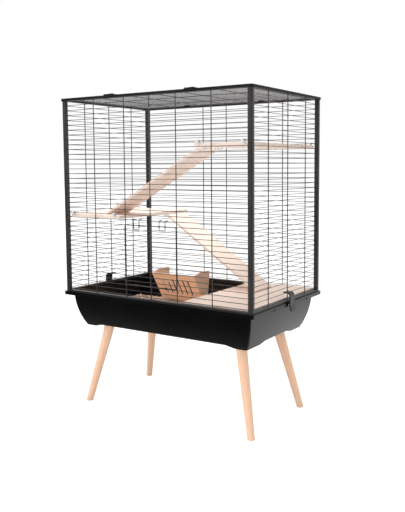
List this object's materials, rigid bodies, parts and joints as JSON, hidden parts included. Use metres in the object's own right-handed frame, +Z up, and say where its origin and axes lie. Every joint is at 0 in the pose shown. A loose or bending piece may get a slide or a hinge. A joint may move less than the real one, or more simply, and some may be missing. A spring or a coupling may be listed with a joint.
{
  "type": "pet cage",
  "caption": "Tall wire cage for small pets on splayed wooden legs, with a deep plastic tray, hinged lid and front door, wooden boards, ramps and a slotted hay rack.",
  "frame": {"origin": "on the floor, under the middle of the cage's bounding box", "axes": "+X to the right seen from the front, -Y towards the front door, +Z up"},
  "size_m": [0.8066, 0.476, 1.0933],
  "materials": {
    "tray_plastic": "satin",
    "frame_black": "satin",
    "clip_plastic": "satin",
    "wire_black": "satin",
    "leg_wood": "matte",
    "board_wood": "matte",
    "rack_wood": "matte",
    "bolt_steel": "satin",
    "shavings": "matte"
  },
  "bodies": {
    "cage": {"tray": "tray_plastic", "leg_front_left": "leg_wood", "leg_front_right": "leg_wood", "leg_back_left": "leg_wood", "leg_back_right": "leg_wood", "leg_bolts": "bolt_steel", "leg_nuts": "bolt_steel", "corner_post_front_left": "frame_black", "corner_post_front_right": "frame_black", "corner_post_back_left": "frame_black", "corner_post_back_right": "frame_black", "base_rail_front": "frame_black", "base_rail_back": "frame_black", "base_rail_left": "frame_black", "base_rail_right": "frame_black", "roof_rail_front": "frame_black", "roof_rail_back": "frame_black", "roof_rail_left": "frame_black", "roof_rail_right": "frame_black", "front_wires": "wire_black", "back_wires": "wire_black", "left_wires": "wire_black", "right_wires": "wire_black", "lid_hinge_clips": "clip_plastic", "door_hinge_loops": "wire_black", "clip_pins": "bolt_steel", "left_board": "board_wood", "upper_board": "board_wood", "low_board": "board_wood", "left_board_hooks": "bolt_steel", "upper_board_hooks": "bolt_steel", "left_board_staples": "bolt_steel", "upper_board_staples": "bolt_steel", "rack_front": "rack_wood", "rack_side_left": "rack_wood", "rack_side_right": "rack_wood", "rack_floor": "rack_wood", "rack_strip": "rack_wood", "bedding": "shavings"},
    "front_door": {"door_frame": "wire_black", "door_wires": "wire_black", "door_latch_guides": "wire_black"},
    "door_latch_left": {"door_latch_left": "wire_black"},
    "door_latch_right": {"door_latch_right": "wire_black"},
    "roof_lid": {"lid_frame": "wire_black", "lid_wires": "wire_black"},
    "lid_latch_left": {"lid_latch_left": "clip_plastic"},
    "lid_latch_right": {"lid_latch_right": "clip_plastic"},
    "side_clip_left": {"side_clip_left": "clip_plastic"},
    "side_clip_right": {"side_clip_right": "clip_plastic"},
    "upper_ramp": {"upper_ramp": "board_wood", "upper_ramp_straps": "bolt_steel"},
    "lower_ramp": {"lower_ramp": "board_wood", "lower_ramp_straps": "bolt_steel"}
  },
  "joints": [
    {"name": "front_door_swing", "type": "hinge", "parent": "cage", "child": "front_door", "pos_m": [0, -0.23125, 0.46018], "axis": [1, 0, 0], "range_deg": [0, 160]},
    {"name": "door_latch_left_slide", "type": "slide", "parent": "front_door", "child": "door_latch_left", "axis": [0, 0, 1], "range_m": [0, 0.006]},
    {"name": "door_latch_right_slide", "type": "slide", "parent": "front_door", "child": "door_latch_right", "axis": [0, 0, 1], "range_m": [0, 0.006]},
    {"name": "roof_lid_swing", "type": "hinge", "parent": "cage", "child": "roof_lid", "pos_m": [0, 0.207, 1.083], "axis": [-1, 0, 0], "range_deg": [0, 105]},
    {"name": "lid_latch_left_turn", "type": "hinge", "parent": "roof_lid", "child": "lid_latch_left", "pos_m": [-0.165, -0.207, 1.083], "axis": [-1, 0, 0], "range_deg": [0, 100]},
    {"name": "lid_latch_right_turn", "type": "hinge", "parent": "roof_lid", "child": "lid_latch_right", "pos_m": [0.165, -0.207, 1.083], "axis": [-1, 0, 0], "range_deg": [0, 100]},
    {"name": "side_clip_left_turn", "type": "hinge", "parent": "cage", "child": "side_clip_left", "pos_m": [-0.3953, 0, 0.405], "axis": [0, -1, 0], "range_deg": [0, 35]},
    {"name": "side_clip_right_turn", "type": "hinge", "parent": "cage", "child": "side_clip_right", "pos_m": [0.3953, 0, 0.405], "axis": [0, 1, 0], "range_deg": [0, 35]},
    {"name": "upper_ramp_lift", "type": "hinge", "parent": "cage", "child": "upper_ramp", "pos_m": [0.165, -0.124, 0.90726], "axis": [0, 1, 0], "range_deg": [0, 45]},
    {"name": "lower_ramp_lift", "type": "hinge", "parent": "cage", "child": "lower_ramp", "pos_m": [-0.138, 0.088, 0.67147], "axis": [0, -1, 0], "range_deg": [0, 55]}
  ]
}
